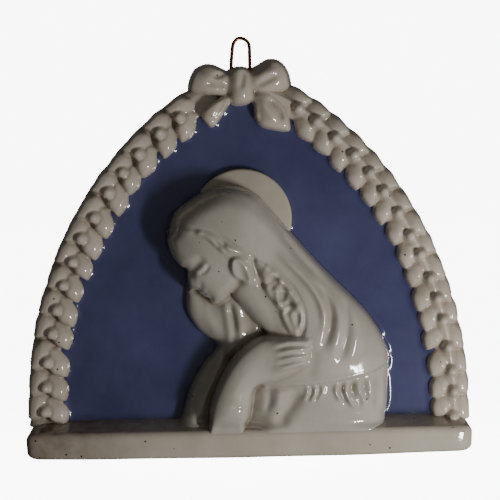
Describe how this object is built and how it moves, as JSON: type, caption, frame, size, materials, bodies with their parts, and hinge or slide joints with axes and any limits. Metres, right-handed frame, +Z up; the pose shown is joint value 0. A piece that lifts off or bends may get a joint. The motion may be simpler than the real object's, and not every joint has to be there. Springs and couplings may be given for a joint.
{
  "type": "decorative wall plaque",
  "caption": "Arched earthenware wall plaque with a veiled half-figure in relief, a leaf and berry garland, a bow and a ledge, hung by a wire loop.",
  "frame": {"origin": "point of the flat back that lies on the wall, on the centre line, 115.6 mm above the underside", "axes": "+Z up, +X to the right as seen from the front, -Y out of the wall towards the viewer"},
  "size_m": [0.2589, 0.0452, 0.2394],
  "materials": {
    "white_glaze": "thick glossy off-white glaze on earthenware; the ground behind the figure is deep blue",
    "copper_wire": "darkened copper wire, satin"
  },
  "bodies": {
    "root": {"plaque": "white_glaze", "hanging_wire": "copper_wire"}
  },
  "joints": []
}
